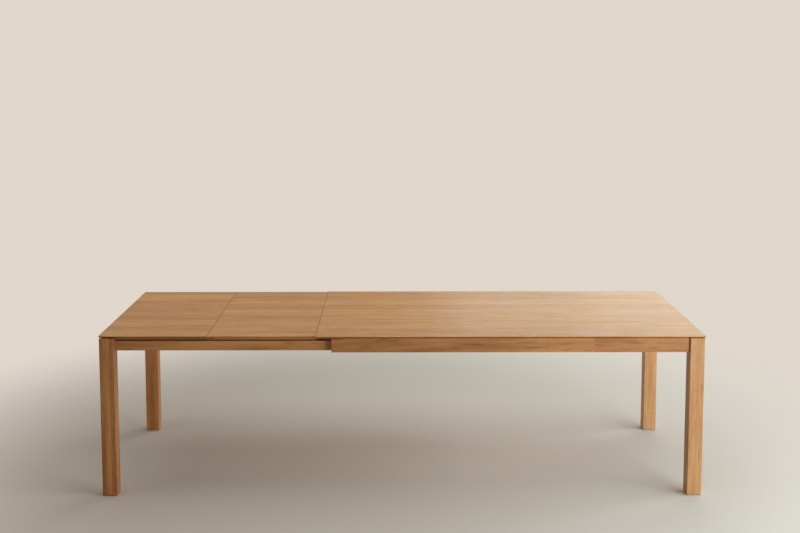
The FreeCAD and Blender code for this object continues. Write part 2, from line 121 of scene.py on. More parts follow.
# helpers for node trees

def put(tree, kind, inputs=None, **settings):  # one node, its settings, and its sockets wired or filled in
    node = tree.nodes.new(kind)
    for name, value in settings.items():
        setattr(node, name, value)
    for socket, value in (inputs or {}).items():
        if isinstance(value, bpy.types.NodeSocket):
            tree.links.new(value, node.inputs[socket])
        else:
            node.inputs[socket].default_value = value
    return node


def calc(tree, operation, first, second=0.0, third=0.0):
    return put(tree, "ShaderNodeMath", {0: first, 1: second, 2: third}, operation=operation).outputs[0]


def addUp(tree, total, *terms):  # total plus each mask times its weight
    for mask, weight in terms:
        total = calc(tree, "MULTIPLY_ADD", mask, weight, total)
    return total


def calcVector(tree, operation, first, second):
    return put(tree, "ShaderNodeVectorMath", {0: first, 1: second}, operation=operation).outputs[0]


def distanceFromZero(tree, vector):
    return put(tree, "ShaderNodeVectorMath", {0: vector}, operation="LENGTH").outputs[1]


def split(tree, vector):
    return put(tree, "ShaderNodeSeparateXYZ", {0: vector}).outputs[:3]


def join(tree, first, second, third):
    return put(tree, "ShaderNodeCombineXYZ", {0: first, 1: second, 2: third}).outputs[0]


def step(tree, value, low, high, start=0.0, end=1.0):  # smooth climb from start to end between low and high
    inputs = {"Value": value, "From Min": low, "From Max": high, "To Min": start, "To Max": end}
    return put(tree, "ShaderNodeMapRange", inputs, interpolation_type="SMOOTHSTEP").outputs[0]


def blend(tree, share, first, second, how="MIX"):  # share of the second colour over the first
    inputs = {0: share, 6: first, 7: second}
    return put(tree, "ShaderNodeMix", inputs, data_type="RGBA", blend_type=how).outputs[2]


def noise(tree, place, counts, detail=0.0, output=0):  # counts are per metre, one for each direction
    stretched = calcVector(tree, "MULTIPLY", place, counts)
    node = put(tree, "ShaderNodeTexNoise", {"Vector": stretched, "Scale": 1.0, "Detail": detail})
    return node.outputs[output]


def wave(tree, place, counts, detail):  # noise about zero
    return calc(tree, "SUBTRACT", noise(tree, place, counts, detail), 0.5)


def placeOnTable(tree):
    return put(tree, "ShaderNodeTexCoord").outputs["Object"]


def colour(red, green, blue):
    return (red, green, blue, 1.0)


def newGroup(name, takes, gives):
    group = bpy.data.node_groups.new(name, "ShaderNodeTree")
    for label, kind in takes.items():
        group.interface.new_socket(name=label, in_out="INPUT", socket_type="NodeSocket" + kind)
    for label, kind in gives.items():
        group.interface.new_socket(name=label, in_out="OUTPUT", socket_type="NodeSocket" + kind)
    entry = group.nodes.new("NodeGroupInput")
    leave = group.nodes.new("NodeGroupOutput")
    return group, entry.outputs, leave.inputs


def useGroup(tree, group, inputs):
    return put(tree, "ShaderNodeGroup", inputs, node_tree=group).outputs


def newMaterial(name, **fixed):  # a material with its shader's own sockets filled in
    material = bpy.data.materials.new(name)
    material.use_nodes = True
    tree = material.node_tree
    shader = tree.nodes["Principled BSDF"]
    for socket, value in fixed.items():
        shader.inputs[socket.replace("_", " ")].default_value = value
    return material, tree, shader


def bump(tree, shader, height, depth, strength):
    normal = put(tree, "ShaderNodeBump", {"Height": height, "Distance": depth, "Strength": strength})
    tree.links.new(normal.outputs[0], shader.inputs["Normal"])


# What wood is made of. Counts are per metre along, across and deep in a board, reaches are metres,
# and limits say where a mark starts and where it is full.
grain = {
    "slowWander": {"counts": (0.8, 3.0, 3.0), "reach": 0.060},
    "quickWander": {"counts": (5.0, 16.0, 16.0), "reach": 0.005},
    "rings": {"count": 370.0, "unevenCount": 55.0, "uneven": 3.0, "early": (0.04, 0.5), "middle": 0.35},
    "pores": {"counts": (75.0, 900.0, 900.0), "limits": (0.58, 0.70), "late": 0.2},
    "rays": {"counts": (60.0, 35.0, 100.0), "limits": (0.63, 0.73)},
    "waves": {  # counts, detail, and weight in the level that runs from brown to pale
        "streak": ((1.2, 48.0, 48.0), 2.0, 0.8),
        "cloud": ((2.2, 9.0, 9.0), 2.0, 0.9),
        "band": ((4.5, 44.0, 44.0), 2.0, 1.1),
        "thread": ((12.0, 380.0, 380.0), 1.0, 0.55),
    },
    "flecks": {"counts": (9.0, 80.0, 80.0), "limits": (0.58, 0.72), "weight": -0.42},
    "level": 0.60,
    "boardTone": 0.19,
    "patches": {"counts": (1.4, 17.0, 17.0), "detail": 2.0, "shares": (0.50, 0.64, 0.75)},  # red, green, blue
    "shade": {"pore": 0.62, "ray": 0.20, "endCut": 0.42, "paintedShadeAndEdges": 0.90},
    "rough": {"base": 0.47, "pore": 0.22, "cloud": 0.16, "ray": -0.08, "endCut": 0.15},
    "height": {"base": 1.0, "pore": -0.7, "early": -0.12, "thread": 0.25},
    "relief": {"depth": 0.00035, "strength": 0.6},
}
pinKnot = {  # on the outer leaf
    "place": (-1.011, 0.166, 0.760),
    "size": (0.014, 0.0035, 0.010),
    "ragged": {"counts": (160.0, 420.0, 420.0), "reach": (0.010, 0.003, 0.003)},
    "core": {"limits": (0.6, 1.1), "shade": 0.85},  # limits in sizes from the middle
    "halo": {"limits": (0.8, 3.2), "shade": 0.25},
}
scuffs = {"detail": 3.0, "limits": (0.54, 0.70), "mottleCount": 24.0, "gate": (0.42, 0.62)}


def makeGrainGroup():
    # A tree as a solid: rings are steps in the distance from the pith, which wanders slowly along the log;
    # pores are long thin dots crowded at the start of each ring, rays are blades that point at the pith,
    # and waves and patches of colour run with the grain.
    group, take, give = newGroup(
        "woodGrain",
        {"Place": "Vector", "Look": "Vector", "Pale": "Color", "Brown": "Color", "Pore": "Color",
         "Figure": "Float"},
        {"Colour": "Color", "Rough": "Float", "Height": "Float"},
    )
    place = take["Place"]
    along, across, deep = split(group, place)
    tone, endCut, paintedShadeAndEdges = split(group, take["Look"])

    wander = [across, deep]
    for bend in (grain["slowWander"], grain["quickWander"]):
        pull = split(group, noise(group, place, bend["counts"], 1.0, 1))
        for k in range(2):
            wander[k] = addUp(group, wander[k], (calc(group, "SUBTRACT", pull[k], 0.5), bend["reach"]))
    squares = [calc(group, "MULTIPLY", part, part) for part in wander]
    radius = calc(group, "SQRT", calc(group, "ADD", *squares))
    rings = grain["rings"]
    uneven = noise(group, join(group, radius, 0.0, 0.0), (rings["unevenCount"], 0.0, 0.0), 1.0)
    age = addUp(group, calc(group, "MULTIPLY", radius, rings["count"]), (uneven, rings["uneven"]))
    early = step(group, calc(group, "FRACT", age), *rings["early"], 1.0, 0.0)

    pores, rays = grain["pores"], grain["rays"]
    crowd = addUp(group, pores["late"], (early, 1 - pores["late"]))
    pore = calc(group, "MULTIPLY", step(group, noise(group, place, pores["counts"]), *pores["limits"]), crowd)
    turn = calc(group, "ARCTAN2", wander[0], wander[1])
    ray = step(group, noise(group, join(group, along, radius, turn), rays["counts"]), *rays["limits"])

    waves, level = {}, grain["level"]
    for name, (counts, detail, weight) in grain["waves"].items():
        waves[name] = wave(group, place, counts, detail)
        level = addUp(group, level, (waves[name], weight))
    flecks = grain["flecks"]
    fleck = step(group, noise(group, place, flecks["counts"], 1.0), *flecks["limits"])
    level = addUp(group, level, (fleck, flecks["weight"]), (tone, grain["boardTone"]))
    ringShade = calc(group, "MULTIPLY", calc(group, "SUBTRACT", early, rings["middle"]), take["Figure"])
    level = calc(group, "SUBTRACT", level, ringShade)

    wood = blend(group, put(group, "ShaderNodeClamp", {0: level}).outputs[0], take["Brown"], take["Pale"])
    patch = wave(group, place, grain["patches"]["counts"], grain["patches"]["detail"])
    tint = join(group, *(addUp(group, 1.0, (patch, share)) for share in grain["patches"]["shares"]))
    wood = blend(group, 1.0, wood, tint, "MULTIPLY")
    shade = grain["shade"]
    # the last darkening is painted shade on downward bevels, seams and upper faces, and a little on rounded
    # edges
    for name, mask, over in (("pore", pore, "Pore"), ("ray", ray, "Pale"),
                             ("endCut", endCut, "Pore"), ("paintedShadeAndEdges", paintedShadeAndEdges, "Pore")):
        wood = blend(group, calc(group, "MULTIPLY", mask, shade[name]), wood, take[over])
    group.links.new(wood, give["Colour"])

    masks = {"pore": pore, "ray": ray, "endCut": endCut, "early": early, **waves}
    for label, weights in (("Rough", grain["rough"]), ("Height", grain["height"])):
        terms = [(masks[name], weight) for name, weight in weights.items() if name != "base"]
        group.links.new(addUp(group, weights["base"], *terms), give[label])
    return group


def makeKnotGroup():
    # A pin knot: one inside an ellipsoid about its place, with a soft halo that is longer along the grain
    group, take, give = newGroup(
        "pinKnot",
        {"Place": "Vector", "Middle": "Vector", "Size": "Vector"},
        {"Core": "Float", "Halo": "Float"},
    )
    away = calcVector(group, "SUBTRACT", take["Place"], take["Middle"])
    ragged = noise(group, take["Place"], pinKnot["ragged"]["counts"], 1.0, 1)
    ragged = calcVector(group, "SUBTRACT", ragged, (0.5, 0.5, 0.5))
    ragged = calcVector(group, "MULTIPLY", ragged, pinKnot["ragged"]["reach"])
    away = calcVector(group, "DIVIDE", calcVector(group, "ADD", away, ragged), take["Size"])
    distance = distanceFromZero(group, away)
    group.links.new(step(group, distance, *pinKnot["core"]["limits"], 1.0, 0.0), give["Core"])
    group.links.new(step(group, distance, *pinKnot["halo"]["limits"], 1.0, 0.0), give["Halo"])
    return group


def makeScuffGroup():
    # Rubbed marks: noise drawn out along one direction and cut off high, so that only thin strokes are left
    group, take, give = newGroup(
        "scuffs",
        {"Place": "Vector", "Scales": "Vector"},
        {"Mark": "Float", "Mottle": "Float"},
    )
    strokes = step(group, noise(group, take["Place"], take["Scales"], scuffs["detail"]), *scuffs["limits"])
    mottle = noise(group, take["Place"], (scuffs["mottleCount"],) * 3, scuffs["detail"])
    gate = step(group, mottle, *scuffs["gate"])
    group.links.new(calc(group, "MULTIPLY", strokes, gate), give["Mark"])
    group.links.new(mottle, give["Mottle"])
    return group


effects = {"grain": makeGrainGroup(), "knot": makeKnotGroup(), "scuffs": makeScuffGroup()}
print("effects:", ", ".join(effects))

# wood colours, as the share of light sent back; figure says how strongly the rings show. The top and the
# frame are
# one oak: the top's colours are paler than the frame's, which paints in the light that falls on the top
woods = {
    "oakTop": {
        "pale": (0.772, 0.408, 0.139), "brown": (0.566, 0.224, 0.053), "pore": (0.175, 0.056, 0.014),
        "figure": 0.18,
    },
    "oakFrame": {
        "pale": (0.515, 0.228, 0.079), "brown": (0.290, 0.096, 0.023), "pore": (0.088, 0.026, 0.006),
        "figure": 0.22,
    },
    # a paler copy of the frame's oak for the right legs: painted light from the windows on the right
    "oakPaintedLight": {
        "pale": (0.535, 0.268, 0.112), "brown": (0.310, 0.122, 0.037), "pore": (0.100, 0.034, 0.010),
        "figure": 0.22,
    },
    "innerBeech": {
        "pale": (0.660, 0.490, 0.320), "brown": (0.480, 0.310, 0.175), "pore": (0.300, 0.170, 0.085),
        "figure": 0.16,
    },
    "dowelBeech": {
        "pale": (0.740, 0.580, 0.400), "brown": (0.560, 0.390, 0.240), "pore": (0.360, 0.220, 0.120),
        "figure": 0.12,
    },
}


def woodMaterial(name, wood, grainAxis=None, pith=None, knot=None):
    # boards carry their own place in the tree; a piece without boards takes it from its place on the table
    material, tree, shader = newMaterial(name, Specular_IOR_Level=0.32)
    tones = woods[wood]
    if grainAxis is None:
        place = put(tree, "ShaderNodeAttribute", attribute_name="treePlace").outputs["Vector"]
        look = put(tree, "ShaderNodeAttribute", attribute_name="boardLook").outputs["Vector"]
    else:
        directions = split(tree, placeOnTable(tree))
        turned = join(tree, *(directions[(grainAxis + k) % 3] for k in range(3)))
        place = calcVector(tree, "ADD", turned, pith)
        look = (0.0, 0.0, 0.0)
    surface = useGroup(tree, effects["grain"], {
        "Place": place, "Look": look, "Figure": tones["figure"],
        "Pale": colour(*tones["pale"]), "Brown": colour(*tones["brown"]), "Pore": colour(*tones["pore"]),
    })
    skin = surface["Colour"]
    if knot:
        inputs = {"Place": placeOnTable(tree), "Middle": knot["place"], "Size": knot["size"]}
        marks = useGroup(tree, effects["knot"], inputs)
        halo = calc(tree, "MULTIPLY", marks["Halo"], knot["halo"]["shade"])
        core = calc(tree, "MULTIPLY", marks["Core"], knot["core"]["shade"])
        skin = blend(tree, halo, skin, colour(*tones["brown"]))
        skin = blend(tree, core, skin, colour(*tones["pore"]))
    tree.links.new(skin, shader.inputs["Base Color"])
    tree.links.new(surface["Rough"], shader.inputs["Roughness"])
    bump(tree, shader, surface["Height"], **grain["relief"])
    return material


steels = {
    "zincSteel": {
        "dark": (0.50, 0.51, 0.52), "light": (0.74, 0.75, 0.76), "metallic": 1.0, "roughness": 0.34,
        "strokes": (14.0, 700.0, 700.0),
    },
    "greySteel": {
        "dark": (0.38, 0.35, 0.31), "light": (0.56, 0.52, 0.47), "metallic": 0.25, "roughness": 0.42,
        "strokes": (8.0, 900.0, 900.0),
    },
}
spangles = {"count": 110.0, "colour": 0.35, "rough": 0.08, "depth": 0.00006, "strength": 0.5}
rubs = {"colour": 0.35, "rough": 0.14, "height": -0.5, "mottle": 0.7}


def steelMaterial(name, dark, light, metallic, roughness, strokes):
    # plated steel: crystals of the plating, slow mottling, and thin rubbed strokes
    material, tree, shader = newMaterial(name, Metallic=metallic)
    onTable = placeOnTable(tree)
    marks = useGroup(tree, effects["scuffs"], {"Place": onTable, "Scales": strokes})
    cells = put(tree, "ShaderNodeTexVoronoi", {"Vector": onTable, "Scale": spangles["count"]})
    spangle = split(tree, cells.outputs["Color"])[0]
    share = calc(tree, "MULTIPLY", marks["Mottle"], rubs["mottle"])
    share = addUp(tree, share, (spangle, spangles["colour"]))
    skin = blend(tree, share, colour(*dark), colour(*light))
    skin = blend(tree, calc(tree, "MULTIPLY", marks["Mark"], rubs["colour"]), skin, colour(*light))
    tree.links.new(skin, shader.inputs["Base Color"])
    rough = addUp(tree, roughness, (spangle, spangles["rough"]), (marks["Mark"], rubs["rough"]))
    tree.links.new(rough, shader.inputs["Roughness"])
    height = addUp(tree, spangle, (marks["Mark"], rubs["height"]))
    bump(tree, shader, height, spangles["depth"], spangles["strength"])
    return material


mouldings = {  # count and depth are those of the moulded texture
    "blackPlastic": {
        "dark": (0.016, 0.015, 0.014), "light": (0.045, 0.043, 0.041), "roughness": 0.38,
        "count": 1600.0, "depth": 0.00005,
    },
    # warmer and darker than the black plastic: partly the pins' own colour, partly painted shade from the
    # leaf's edge above them
    "darkPin": {
        "dark": (0.020, 0.009, 0.005), "light": (0.050, 0.026, 0.016), "roughness": 0.60,
        "count": 1600.0, "depth": 0.00005,
    },
    "rubberPad": {
        "dark": (0.020, 0.018, 0.016), "light": (0.060, 0.055, 0.050), "roughness": 0.62,
        "count": 900.0, "depth": 0.0001,
    },
}
mouldMarks = {"strokes": (30.0, 260.0, 260.0), "colour": 0.5, "mottle": 0.8, "rough": 0.2, "strength": 0.6}


def mouldedMaterial(name, dark, light, roughness, count, depth):
    # moulded skin: a fine even texture, slow flow marks and a few pale rubs
    material, tree, shader = newMaterial(name, Specular_IOR_Level=0.4)
    onTable = placeOnTable(tree)
    fine = noise(tree, onTable, (count,) * 3, 1.0)
    marks = useGroup(tree, effects["scuffs"], {"Place": onTable, "Scales": mouldMarks["strokes"]})
    share = calc(tree, "MULTIPLY", marks["Mottle"], mouldMarks["mottle"])
    share = addUp(tree, share, (marks["Mark"], mouldMarks["colour"]))
    tree.links.new(blend(tree, share, colour(*dark), colour(*light)), shader.inputs["Base Color"])
    tree.links.new(addUp(tree, roughness, (fine, mouldMarks["rough"])), shader.inputs["Roughness"])
    bump(tree, shader, fine, depth, mouldMarks["strength"])
    return material


felt = {
    "dark": (0.175, 0.170, 0.160),
    "light": (0.400, 0.390, 0.370),
    "fibres": ((420.0, 1900.0, 1900.0), (1700.0, 380.0, 1500.0)),  # counts of the two sets
    "fibreWeight": 1.4,
    "fibreBase": -0.7,
    "mottleCount": 70.0,
    "mottleWeight": 0.6,
    "rough": (0.4, 0.8, 0.96, 0.82),
    "relief": {"depth": 0.0004, "strength": 0.8},
}


def feltMaterial():
    # pressed fibres: two sets of short strokes that cross, over a mottled ground
    material, tree, shader = newMaterial("greyFelt", Sheen_Weight=0.35, Specular_IOR_Level=0.15)
    onTable = placeOnTable(tree)
    fibre = calc(tree, "MAXIMUM", *(noise(tree, onTable, counts, 2.0) for counts in felt["fibres"]))
    mottle = noise(tree, onTable, (felt["mottleCount"],) * 3, 2.0)
    share = addUp(tree, felt["fibreBase"], (fibre, felt["fibreWeight"]), (mottle, felt["mottleWeight"]))
    skin = blend(tree, share, colour(*felt["dark"]), colour(*felt["light"]))
    tree.links.new(skin, shader.inputs["Base Color"])
    tree.links.new(step(tree, fibre, *felt["rough"]), shader.inputs["Roughness"])
    bump(tree, shader, fibre, **felt["relief"])
    return material


materials = {
    "oakTop": woodMaterial("oakTop", "oakTop"),
    "oakTopKnot": woodMaterial("oakTopKnot", "oakTop", knot=pinKnot),
    "oakFrame": woodMaterial("oakFrame", "oakFrame"),
    "oakPaintedLight": woodMaterial("oakPaintedLight", "oakPaintedLight"),
    "beechAlongTable": woodMaterial("beechAlongTable", "innerBeech", 0, (0.0, 0.06, -0.62)),
    "beechAcrossTable": woodMaterial("beechAcrossTable", "innerBeech", 1, (3.0, -0.64, 0.05)),
    "dowelBeech": woodMaterial("dowelBeech", "dowelBeech", 0, (1.0, 0.05, -0.70)),
    **{name: steelMaterial(name, **steel) for name, steel in steels.items()},
    **{name: mouldedMaterial(name, **moulding) for name, moulding in mouldings.items()},
    "greyFelt": feltMaterial(),
}
print("materials:", len(materials))


# the pieces' surfaces

def ringFaces(rings, count):
    # Quads from each ring of points to the next, and one face over each end
    ring, spot = np.meshgrid(np.arange(rings - 1), np.arange(count), indexing="ij")
    here, after = ring * count, (spot + 1) % count
    quads = np.stack([here + spot, here + after, here + count + after, here + count + spot], -1)
    return [*quads.reshape(-1, 4), np.arange(count)[::-1], (rings - 1) * count + np.arange(count)]


def sweepSolid(outline, normals, along, inset, axis):
    # Point (j, i) = outline point i, moved in by inset j along its own normal, at station j along the axis.
    # The outline turns anticlockwise in the two directions after the axis, so the quads face outwards.
    points = np.empty((len(along), len(outline), 3))
    section = outline[None] - np.asarray(inset)[:, None, None] * normals[None]
    points[:, :, axis] = np.asarray(along)[:, None]
    points[:, :, (axis + 1) % 3] = section[:, :, 0]
    points[:, :, (axis + 2) % 3] = section[:, :, 1]
    return points.reshape(-1, 3), ringFaces(len(along), len(outline))


def easeEnds(low, high, easeLow, easeHigh, steps=3):
    # Stations and insets of a bar whose ends are rounded by quarter circles:
    # inset = e(1 - sin t) and station = e(1 - cos t) in from the end
    turn = np.linspace(0, math.pi / 2, steps + 1)
    along, inset = [], []
    for edge, ease, sign in ((low, easeLow, 1), (high, easeHigh, -1)):
        if ease:
            part = edge + sign * ease * (1 - np.cos(turn)), ease * (1 - np.sin(turn))
        else:
            part = np.array([edge]), np.array([0.0])
        along.append(part[0][::sign])
        inset.append(part[1][::sign])
    return np.concatenate(along), np.concatenate(inset)


allFree = (False,) * 4  # no side of a board is glued to another


def barOutline(low, high, radius, glued=allFree, steps=5):
    # Rectangle with quarter circles at the corners between two free sides and square corners at a glued one;
    # sides go low first, high first, low second, high second. Each point's normal is the sum of those of its
    # free sides.
    points, normals = [], []
    corners = ((0, 0, 180), (1, 0, 270), (1, 1, 0), (0, 1, 90))
    for onHigh, onBack, startAngle in corners:
        free = np.array([not glued[onHigh], not glued[2 + onBack]], float)
        out = np.array([2.0 * onHigh - 1, 2.0 * onBack - 1])
        corner = np.array([(low[0], high[0])[onHigh], (low[1], high[1])[onBack]])
        if free.all() and radius:
            turn = np.radians(startAngle + np.linspace(0, 90, steps + 1))
            circle = np.stack([np.cos(turn), np.sin(turn)], 1)
            points.append(corner - out * radius + circle * radius)
            normals.append(circle)
        else:
            points.append(corner[None])
            normals.append((out * free)[None])
    return np.concatenate(points), np.concatenate(normals)


def boardSolid(low, high, axis, radius, ease, glued=allFree, steps=5):
    # A board of rounded section carried along its own axis, between two opposite corners
    first, second = (axis + 1) % 3, (axis + 2) % 3
    start, end = (low[first], low[second]), (high[first], high[second])
    outline, normals = barOutline(start, end, radius, glued, steps)
    along, inset = easeEnds(low[axis], high[axis], *ease)
    return sweepSolid(outline, normals, along, inset, axis)


def polygonSolid(outline, axis, low, high, ease, gluedEdges=()):
    # Any anticlockwise outline carried along an axis; each point moves in by the sum of the normals of its
    # free sides
    outline = np.asarray(outline, float)
    side = np.roll(outline, -1, 0) - outline
    facing = np.stack([side[:, 1], -side[:, 0]], 1) / np.linalg.norm(side, axis=1)[:, None]
    facing[list(gluedEdges)] = 0
    along, inset = easeEnds(low, high, *ease)
    return sweepSolid(outline, facing + np.roll(facing, 1, 0), along, inset, axis)


def turnedSolid(middle, heights, radii, steps=40):
    # A profile turned about an upright axis: point (j, i) = (r_j cos t_i, r_j sin t_i, h_j), with flat ends
    turn = np.linspace(0, 2 * math.pi, steps, endpoint=False)
    outline = np.stack([np.cos(turn), np.sin(turn)], 1)
    points, faces = sweepSolid(outline, outline, heights, 1 - np.asarray(radii), 2)
    points[:, :2] += np.asarray(middle)[:2]
    return points, faces


def joinSolids(solids):  # several closed shells as one list of points and faces
    points, faces, start = [], [], 0
    for somePoints, someFaces in solids:
        points.append(somePoints)
        faces += [face + start for face in someFaces]
        start += len(somePoints)
    return np.concatenate(points), faces


smoothBelow = 35  # degrees between two faces


def pieceName(node):
    return node.title().replace("_", "")


def makePiece(name, solid, material, body, replaced):
    points, faces = solid
    mesh = bpy.data.meshes.new(name)
    mesh.from_pydata(points.tolist(), [], [face.tolist() for face in faces])
    mesh.shade_smooth()
    mesh.set_sharp_from_angle(angle=math.radians(smoothBelow))
    mesh.materials.append(materials[material])
    piece = bpy.data.objects.new(name, mesh)
    bpy.context.scene.collection.objects.link(piece)
    flats = piece.modifiers.new("flatFaces", "WEIGHTED_NORMAL")
    flats.keep_sharp = True
    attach(piece, body)
    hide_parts(*replaced)
    return piece


# how a board lies in its log: sideways and downwards from the board's middle to the pith, in metres
sawings = {
    "flat": {"side": (-0.03, 0.03), "down": (0.045, 0.10)},
    "rift": {"side": (0.06, 0.11), "down": (0.05, 0.09)},
    "quarter": {"side": (0.09, 0.16), "down": (-0.015, 0.015)},
}
logs = {
    "lean": 0.010,  # of a board from its pith
    "start": (5, 45),  # where boards start along the tree
}
faceKinds = {
    "endCut": 0.75,  # least share of the normal along the grain
    "alongGrain": 0.05,  # greatest
    "rounded": 0.0013,  # metres, width of a narrow face
    "bevelled": (-0.9, -0.5),  # how far the normal points up
    "upper": 0.35,
    "roundShade": 0.15,
}


def sawnBoard(chance, solid, grainAxis, sawing, tone, faceAxis, upperShade=0.0, underShade=0.92):
    # Place in the tree = place on the table from the pith, which leans a little along the board.
    # Look = the board's tone, one number or one for each end, whether a face is cut across the grain, and
    # how far it is darkened towards the pore colour: a little on rounded edges, and painted shade fully on
    # the rounds of a seam, where the gap between panels lies in shade, and by underShade on a bevel that
    # faces down. The argument after faceAxis paints the same shade on the upper faces of a board under the
    # top.
    points, faces = solid
    first, second = (grainAxis + 1) % 3, (grainAxis + 2) % 3
    middle = (points.min(0) + points.max(0)) / 2
    side = chance.uniform(*sawings[sawing]["side"]) * chance.choice([-1, 1])
    down = chance.uniform(*sawings[sawing]["down"]) * chance.choice([-1, 1])
    pith = (side, down) if faceAxis == second else (down, side)
    lean = chance.normal(0, logs["lean"], 2)
    along = points[:, grainAxis] - middle[grainAxis]
    inTree = np.stack([
        along + chance.uniform(*logs["start"]),
        points[:, first] - middle[first] - pith[0] + lean[0] * along,
        points[:, second] - middle[second] - pith[1] + lean[1] * along,
    ], 1)
    endCut, paintedShadeAndEdges = [], []
    for face in faces:
        corners = points[face]
        edges = np.roll(corners, -1, 0) - corners
        normal = np.cross(corners, np.roll(corners, -1, 0)).sum(0)
        normal /= max(np.linalg.norm(normal), 1e-12)
        alongGrain, up = abs(normal[grainAxis]), normal[2]
        rounded = len(face) == 4 and np.linalg.norm(edges, axis=1).min() < faceKinds["rounded"]
        seam = rounded and alongGrain >= faceKinds["alongGrain"] and faceAxis == 2
        bevelled = faceKinds["bevelled"][0] < up < faceKinds["bevelled"][1]
        shade = max(faceKinds["roundShade"] * rounded, 1.0 * seam, underShade * bevelled,
                    upperShade * (up > faceKinds["upper"]))
        endCut += [float(alongGrain > faceKinds["endCut"])] * len(face)
        paintedShadeAndEdges += [shade] * len(face)
    corner = np.concatenate(faces)
    reach = points[corner, grainAxis]
    tones = np.interp(reach, (reach.min(), reach.max()), np.broadcast_to(tone, 2))
    look = np.stack([tones, endCut, paintedShadeAndEdges], 1)
    return {"solid": solid, "treePlace": inTree[corner], "boardLook": look}


def makeWoodPiece(name, boards, material, body, replaced):
    solid = joinSolids([board["solid"] for board in boards])
    piece = makePiece(name, solid, material, body, replaced)
    for label in ("treePlace", "boardLook"):
        values = np.concatenate([board[label] for board in boards]).astype(np.float32)
        attribute = piece.data.attributes.new(label, "FLOAT_VECTOR", "CORNER")
        attribute.data.foreach_set("vector", values.ravel())


# The top and its two leaves, glued from staves, in metres. Each end of a panel is free or butts another,
# and its core starts that far in.
panels = {
    "rim": 0.011,  # thickness along the free edges
    "bevel": 0.008,
    "round": 0.001,
    "seamRound": 0.0011,
    "core": 0.020,  # thickness inside the rim
    "coreHalf": 0.400,
    "stripInner": 0.430,  # inner side of the strip under each side edge of a leaf
    "stripEase": 0.0005,
    "coreStaves": 7,
    "steps": 5,
    "sawn": {"flat": 0.45, "rift": 0.35, "quarter": 0.20},  # share of the staves
    # underShade: painted shade on each panel's downward bevel, as a share of the pore colour
    "pieces": {
        "mainTop": {
            "node": "main_top", "body": "main_frame", "wood": "oakTop",
            "left": ("free", 0.020), "right": ("free", 0.040), "strips": False,
            "seed": 11, "underShade": 1.0, "spread": 1.2,  # of the staves' tones
        },
        "innerLeaf": {
            "node": "inner_leaf_panel", "body": "inner_leaf", "wood": "oakTop",
            "left": ("butt", 0), "right": ("butt", 0), "strips": True,
            "seed": 23, "underShade": 0.72, "spread": 1.3,
        },
        "outerLeaf": {
            "node": "outer_leaf_panel", "body": "outer_leaf", "wood": "oakTopKnot",
            "left": ("free", 0.020), "right": ("butt", 0), "strips": True,
            "seed": 37, "underShade": 0.92, "spread": 1.8,
        },
    },
}


def edgeInset(kind, depth):
    # How far an edge stands in at a depth below the top: r - sqrt(r^2 - (r - depth)^2) in its round,
    # nothing on its land, then depth for depth down a bevel at 45 degrees
    radius = {"free": panels["round"], "butt": panels["seamRound"], "glued": 0.0}[kind]
    inRound = np.clip(radius - depth, 0, None)
    inset = radius - np.sqrt(radius**2 - inRound**2)
    if kind == "free":
        inset = inset + np.clip(depth - (panels["rim"] - panels["bevel"]), 0, None)
    return inset


def edgeDepths(kind):
    # Depths of the points down an edge: r(1 - cos t) in its round, then its land and rim, or its full depth
    turn = np.linspace(0, math.pi / 2, panels["steps"] + 1)
    if kind == "free":
        below = [panels["rim"] - panels["bevel"], panels["rim"]]
        return np.concatenate([panels["round"] * (1 - np.cos(turn)), below])
    return np.concatenate([panels["seamRound"] * (1 - np.cos(turn)), [panels["core"]]])


def coreStave(low, high, ends):
    # Outline of the board's long section, down its left end and up its right one, carried across its width
    sides = []
    for kind, coreStart in ends:
        depth = edgeDepths(kind)
        inset = edgeInset(kind, depth)
        if kind == "free":
            depth = np.concatenate([depth, [panels["rim"], panels["core"]]])
            inset = np.concatenate([inset, [coreStart, coreStart]])
        sides.append((inset, high[2] - depth))
    (leftInset, leftLevel), (rightInset, rightLevel) = sides
    x = np.concatenate([low[0] + leftInset, (high[0] - rightInset)[::-1]])
    z = np.concatenate([leftLevel, rightLevel[::-1]])
    outline = np.stack([z, x], 1)[::-1]
    return sweepSolid(outline, np.zeros_like(outline), [low[1], high[1]], [0, 0], 1)


def sideStave(low, high, kinds):
    # Rings of four points, one ring for each depth of the edge, with each side in by its own inset
    depth = edgeDepths("free")
    left, right, front, back = (edgeInset(kind, depth) for kind in kinds)
    x = np.stack([low[0] + left, high[0] - right, high[0] - right, low[0] + left], 1)
    y = np.stack([low[1] + front, low[1] + front, high[1] - back, high[1] - back], 1)
    z = np.repeat(high[2] - depth[:, None], 4, 1)
    points = np.stack([x, y, z], -1)[::-1].reshape(-1, 3)
    return points, ringFaces(len(depth), 4)


def edgeStrip(low, high, coreEnds, side):
    # Outline across the table: up the bevel's plane from the underside to the rim, then back over the strip
    bevelEnd = high[1] - panels["bevel"]
    rimLevel = high[2] - panels["rim"]
    outline = np.array([
        (panels["stripInner"], low[2]), (bevelEnd - (rimLevel - low[2]), low[2]),
        (bevelEnd, rimLevel), (panels["stripInner"], rimLevel),
    ])
    if side < 0:
        outline = (outline * (-1, 1))[::-1]
    ease = (panels["stripEase"] if coreEnds[0] else 0, 0)
    return polygonSolid(outline, 0, low[0] + coreEnds[0], high[0] - coreEnds[1], ease)


